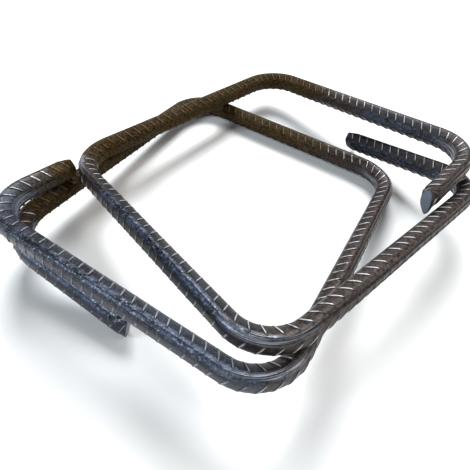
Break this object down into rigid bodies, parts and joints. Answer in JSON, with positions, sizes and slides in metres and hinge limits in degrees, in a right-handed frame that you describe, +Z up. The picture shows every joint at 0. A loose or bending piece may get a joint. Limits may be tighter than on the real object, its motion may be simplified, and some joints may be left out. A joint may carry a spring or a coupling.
{
  "type": "bundle of rebar stirrups",
  "caption": "Bent ribbed steel bar stirrups lying across one another, closed rectangular ties with lapped hooks that hold the main bars of a concrete beam or column.",
  "frame": {"origin": "middle of the pair's box, on the floor it lies on", "axes": "+Z up from the floor, +X to the right in the picture, from the lower stirrup's lap corner towards the upper one's, +Y away from the viewer"},
  "size_m": [0.2248, 0.2135, 0.0447],
  "materials": {
    "scaled_steel": "hot-rolled ribbed bar, dark mill scale with some rust",
    "rusted_steel": "hot-rolled ribbed bar, dark mill scale going brown with rust, rib crests worn bright"
  },
  "bodies": {
    "root": {"lower_stirrup": "scaled_steel", "upper_stirrup": "rusted_steel"}
  },
  "joints": []
}
